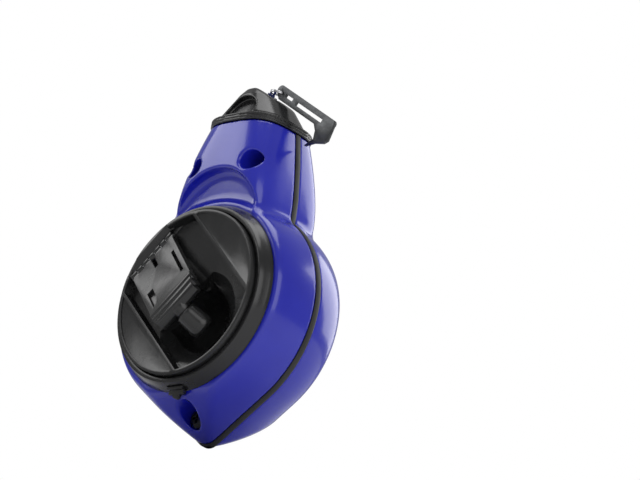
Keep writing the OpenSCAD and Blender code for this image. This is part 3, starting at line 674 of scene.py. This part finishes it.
def dressLine(piece, *nodes):
    dress(piece, materials["line"], "nose", "chalk_line", *nodes)


def buildKnot():
    y0 = ring["loopY"]
    corners = np.linspace(0, 2 * math.pi, 25)[:-1]
    loop = [(knot["loopR"] * math.cos(a), y0 + knot["loopR"] * math.sin(a), 0.0) for a in corners]
    dressLine(sweptPiece("lineLoop", loop, knot["cord"], materials["line"], True), "line_knot")
    wraps = []
    for i in range(knot["steps"] + 1):
        along = i / knot["steps"]
        a = 2 * math.pi * knot["turns"] * along
        y = y0 - knot["wrapDrop"] + knot["wrapLength"] * along
        wraps.append((knot["wrapR"] * math.cos(a), y, knot["wrapR"] * math.sin(a)))
    dressLine(sweptPiece("knotTurns", wraps, knot["wrapCord"], materials["line"]))
    for k, (dx, dh, rise) in enumerate(knot["tails"]):
        tail = [(dx * t, y0 - knot["tailDrop"] + rise * math.sin(knot["tailBend"] * t), dh * t)
                for t in np.linspace(0.25, 1, 9)]
        dressLine(sweptPiece("knotTail%d" % k, tail, knot["tailCord"], materials["line"]))


buildRing()
buildKnot()
print("ring and knot")


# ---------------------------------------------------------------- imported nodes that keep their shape

finishes = {
    "bright": ["main_axle", "planet_pins", "hinge_pin", "line_eyelet"],
    "screw": ["carrier_screws", "knob_axle"],
    "nylon": ["ring_gear", "sun_gear", "planet_gear_1", "planet_gear_2", "planet_gear_3"],
    "spool": ["spool", "planet_carrier"],
    "rubber": ["crank_seal"],
    "felt": ["line_wiper"],
    "line": ["wound_line", "line_run"],
}


def coatNodes():
    for finish, nodes in finishes.items():
        for node in nodes:
            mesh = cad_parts[node].data
            if not mesh.materials:
                mesh.materials.append(None)
            for k in range(len(mesh.materials)):
                mesh.materials[k] = materials[finish]


coatNodes()
print("packed nodes:", sum(len(nodes) for nodes in finishes.values()))


# ---------------------------------------------------------------- stage, light and camera

# the camera stands in line with the seam's centre and looks a little beside and above it
shot = {"turn": 44.63, "rise": -19.08, "lean": 10.4, "distance": 1.2, "focal": 189.0,
        "beside": 0.0315, "above": 0.0277}


def buildStage():
    low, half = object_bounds()[0][2], 3
    corners = np.array([(-half, -half, low), (half, -half, low), (half, half, low), (-half, half, low)])
    floor = meshPiece("floor", corners, [(0, 1, 2, 3)], False)
    material, tree, shader, place = newMaterial("paleFloor")
    cloud = noiseOn(tree, place, 3, 3)
    tree.links.new(blendColours(tree, rampOf(tree, cloud, 0, 1), (0.86, 0.86, 0.86), (0.82, 0.82, 0.82)),
                   shader.inputs["Base Color"])
    shader.inputs["Roughness"].default_value = 0.7
    below = tree.nodes.new("ShaderNodeNewGeometry")
    clear = tree.nodes.new("ShaderNodeBsdfTransparent")
    mix = tree.nodes.new("ShaderNodeMixShader")
    tree.links.new(below.outputs["Backfacing"], mix.inputs[0])
    tree.links.new(shader.outputs[0], mix.inputs[1])
    tree.links.new(clear.outputs[0], mix.inputs[2])
    tree.links.new(mix.outputs[0], tree.nodes["Material Output"].inputs["Surface"])
    floor.data.materials.append(material)


lights = [
    # name, place, size, power
    ("keyBox", (-0.9, -0.7, 0.9), 0.8, 5),
    ("fillBox", (1.2, -0.5, 0.4), 0.9, 4),
    ("topBox", (0.1, -0.1, 1.3), 0.9, 6),
    ("backBox", (0.3, 1.2, 0.6), 1.0, 8),
]
litPoint = Vector((0, -0.02, 0.01))
roomLight = 0.36


def softLight(name, place, size, power):
    light = bpy.data.lights.new(name, "AREA")
    light.size = size
    light.energy = power
    lamp = bpy.data.objects.new(name, light)
    lamp.location = place
    lamp.rotation_euler = (litPoint - Vector(place)).to_track_quat("-Z", "Y").to_euler()
    bpy.context.scene.collection.objects.link(lamp)


def buildLight():
    for lamp in lights:
        softLight(*lamp)
    world = bpy.data.worlds.new("studio")
    world.use_nodes = True
    # white behind the object, a dimmer room round it
    sky = world.node_tree.nodes["Background"]
    sky.inputs["Strength"].default_value = roomLight
    sky.inputs["Color"].default_value = (1, 1, 1, 1)
    behind = world.node_tree.nodes.new("ShaderNodeBackground")
    behind.inputs["Color"].default_value = (1, 1, 1, 1)
    ray = world.node_tree.nodes.new("ShaderNodeLightPath")
    mix = world.node_tree.nodes.new("ShaderNodeMixShader")
    world.node_tree.links.new(ray.outputs["Is Camera Ray"], mix.inputs[0])
    world.node_tree.links.new(sky.outputs[0], mix.inputs[1])
    world.node_tree.links.new(behind.outputs[0], mix.inputs[2])
    world.node_tree.links.new(mix.outputs[0], world.node_tree.nodes["World Output"].inputs["Surface"])
    bpy.context.scene.world = world
    bpy.context.scene.view_settings.view_transform = "Standard"


def buildCamera():
    turn, rise, lean = (math.radians(shot[k]) for k in ("turn", "rise", "lean"))
    back = Vector((math.sin(turn) * math.cos(rise), -math.cos(turn) * math.cos(rise), math.sin(rise)))
    right = Vector((math.cos(turn), math.sin(turn), 0))
    up = back.cross(right)
    right, up = right * math.cos(lean) + up * math.sin(lean), up * math.cos(lean) - right * math.sin(lean)
    lens = bpy.data.cameras.new("camera")
    lens.lens = shot["focal"]
    lens.sensor_width = 36
    lens.clip_start = 0.05
    lens.clip_end = 30
    camera = bpy.data.objects.new("camera", lens)
    centre = Vector((0, seamY, 0))
    place = centre + back * shot["distance"]
    aim = (place - centre - right * shot["beside"] - up * shot["above"]).normalized()
    across = up.cross(aim).normalized()
    turned = Matrix((across, aim.cross(across), aim)).transposed().to_4x4()
    camera.matrix_world = Matrix.Translation(place) @ turned
    bpy.context.scene.collection.objects.link(camera)
    bpy.context.scene.camera = camera


buildStage()
buildLight()
buildCamera()
print("stage")
